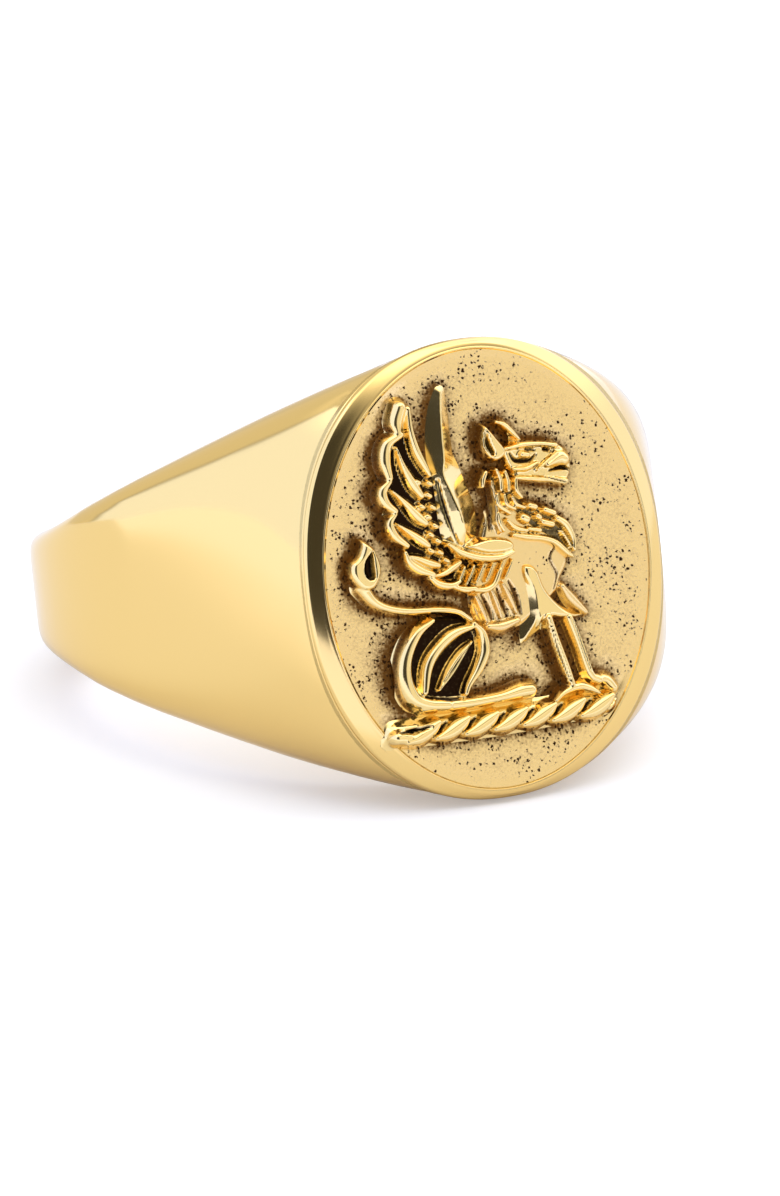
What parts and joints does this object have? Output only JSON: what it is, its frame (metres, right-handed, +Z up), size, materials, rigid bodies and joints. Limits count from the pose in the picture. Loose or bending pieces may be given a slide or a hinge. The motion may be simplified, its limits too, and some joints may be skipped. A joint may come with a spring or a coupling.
{
  "type": "signet ring",
  "caption": "Oval-headed gold signet ring, lying on its side, with a seated winged beast in relief on the pitted face.",
  "frame": {"origin": "middle of the ring's bounding box in plan, on the surface that it rests on", "axes": "+Z up from the floor; the oval face looks toward -Y and 15.1 degrees upward; +X is to the right when the face is seen from the front"},
  "size_m": [0.0226, 0.0254, 0.0157],
  "materials": {
    "polished_gold": "mirror polished",
    "darkened_gold": "satin, pitted, darkened in the hollows"
  },
  "bodies": {
    "root": {"shank": "polished_gold", "bezel_rim": "polished_gold", "wreath": "polished_gold", "hind_leg": "polished_gold", "tail": "polished_gold", "body": "polished_gold", "near_foreleg": "polished_gold", "far_foreleg": "polished_gold", "wing_arm": "polished_gold", "wing_feathers": "polished_gold", "head": "polished_gold", "mane": "polished_gold", "face_plate": "darkened_gold"}
  },
  "joints": []
}
